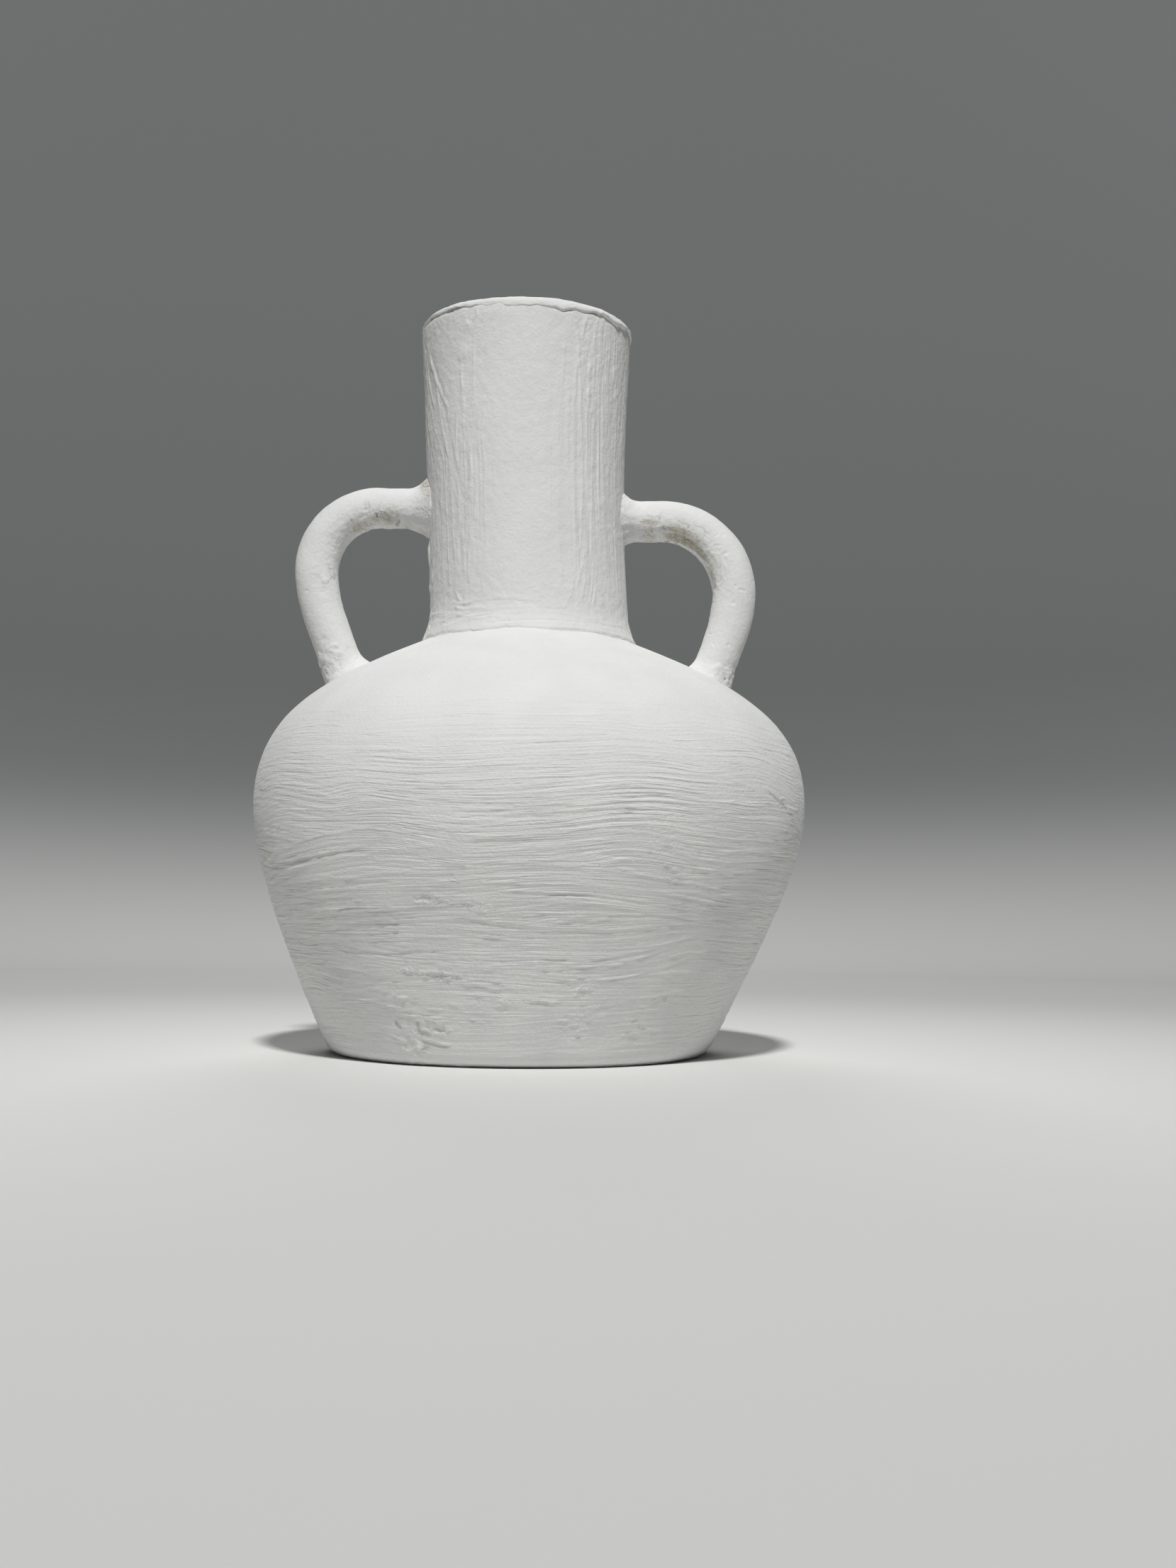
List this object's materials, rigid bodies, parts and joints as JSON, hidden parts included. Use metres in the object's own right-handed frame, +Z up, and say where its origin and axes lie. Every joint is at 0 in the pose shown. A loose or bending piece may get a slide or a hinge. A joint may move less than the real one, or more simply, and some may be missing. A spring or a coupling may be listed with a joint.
{
  "type": "two-handled vase",
  "caption": "Broad-bellied pottery vase with a tall waisted neck, rolled lip and loop handles, to stand and hold flowers or branches; matte brushed white coat.",
  "frame": {"origin": "on the ground, under the middle of the vase's widest ring", "axes": "+Z up, the two handles lie along X, the picture's view looks along +Y"},
  "size_m": [0.3148, 0.3148, 0.4215],
  "materials": {
    "coated_clay": "matte, thick brushed chalky white coat",
    "handle_clay": "matte, rough white coat, thin and yellowish in places",
    "bare_clay": "matte, bare fired clay"
  },
  "bodies": {
    "root": {"base_slab": "coated_clay", "floor_seam_coil": "bare_clay", "lower_body": "coated_clay", "belly_seam_coil": "bare_clay", "shoulder": "coated_clay", "neck_joint_coil": "coated_clay", "neck": "coated_clay", "rim_coil": "coated_clay", "handle_left": "handle_clay", "handle_left_upper_wad": "handle_clay", "handle_left_lower_wad": "handle_clay", "handle_right": "handle_clay", "handle_right_upper_wad": "handle_clay", "handle_right_lower_wad": "handle_clay"}
  },
  "joints": []
}
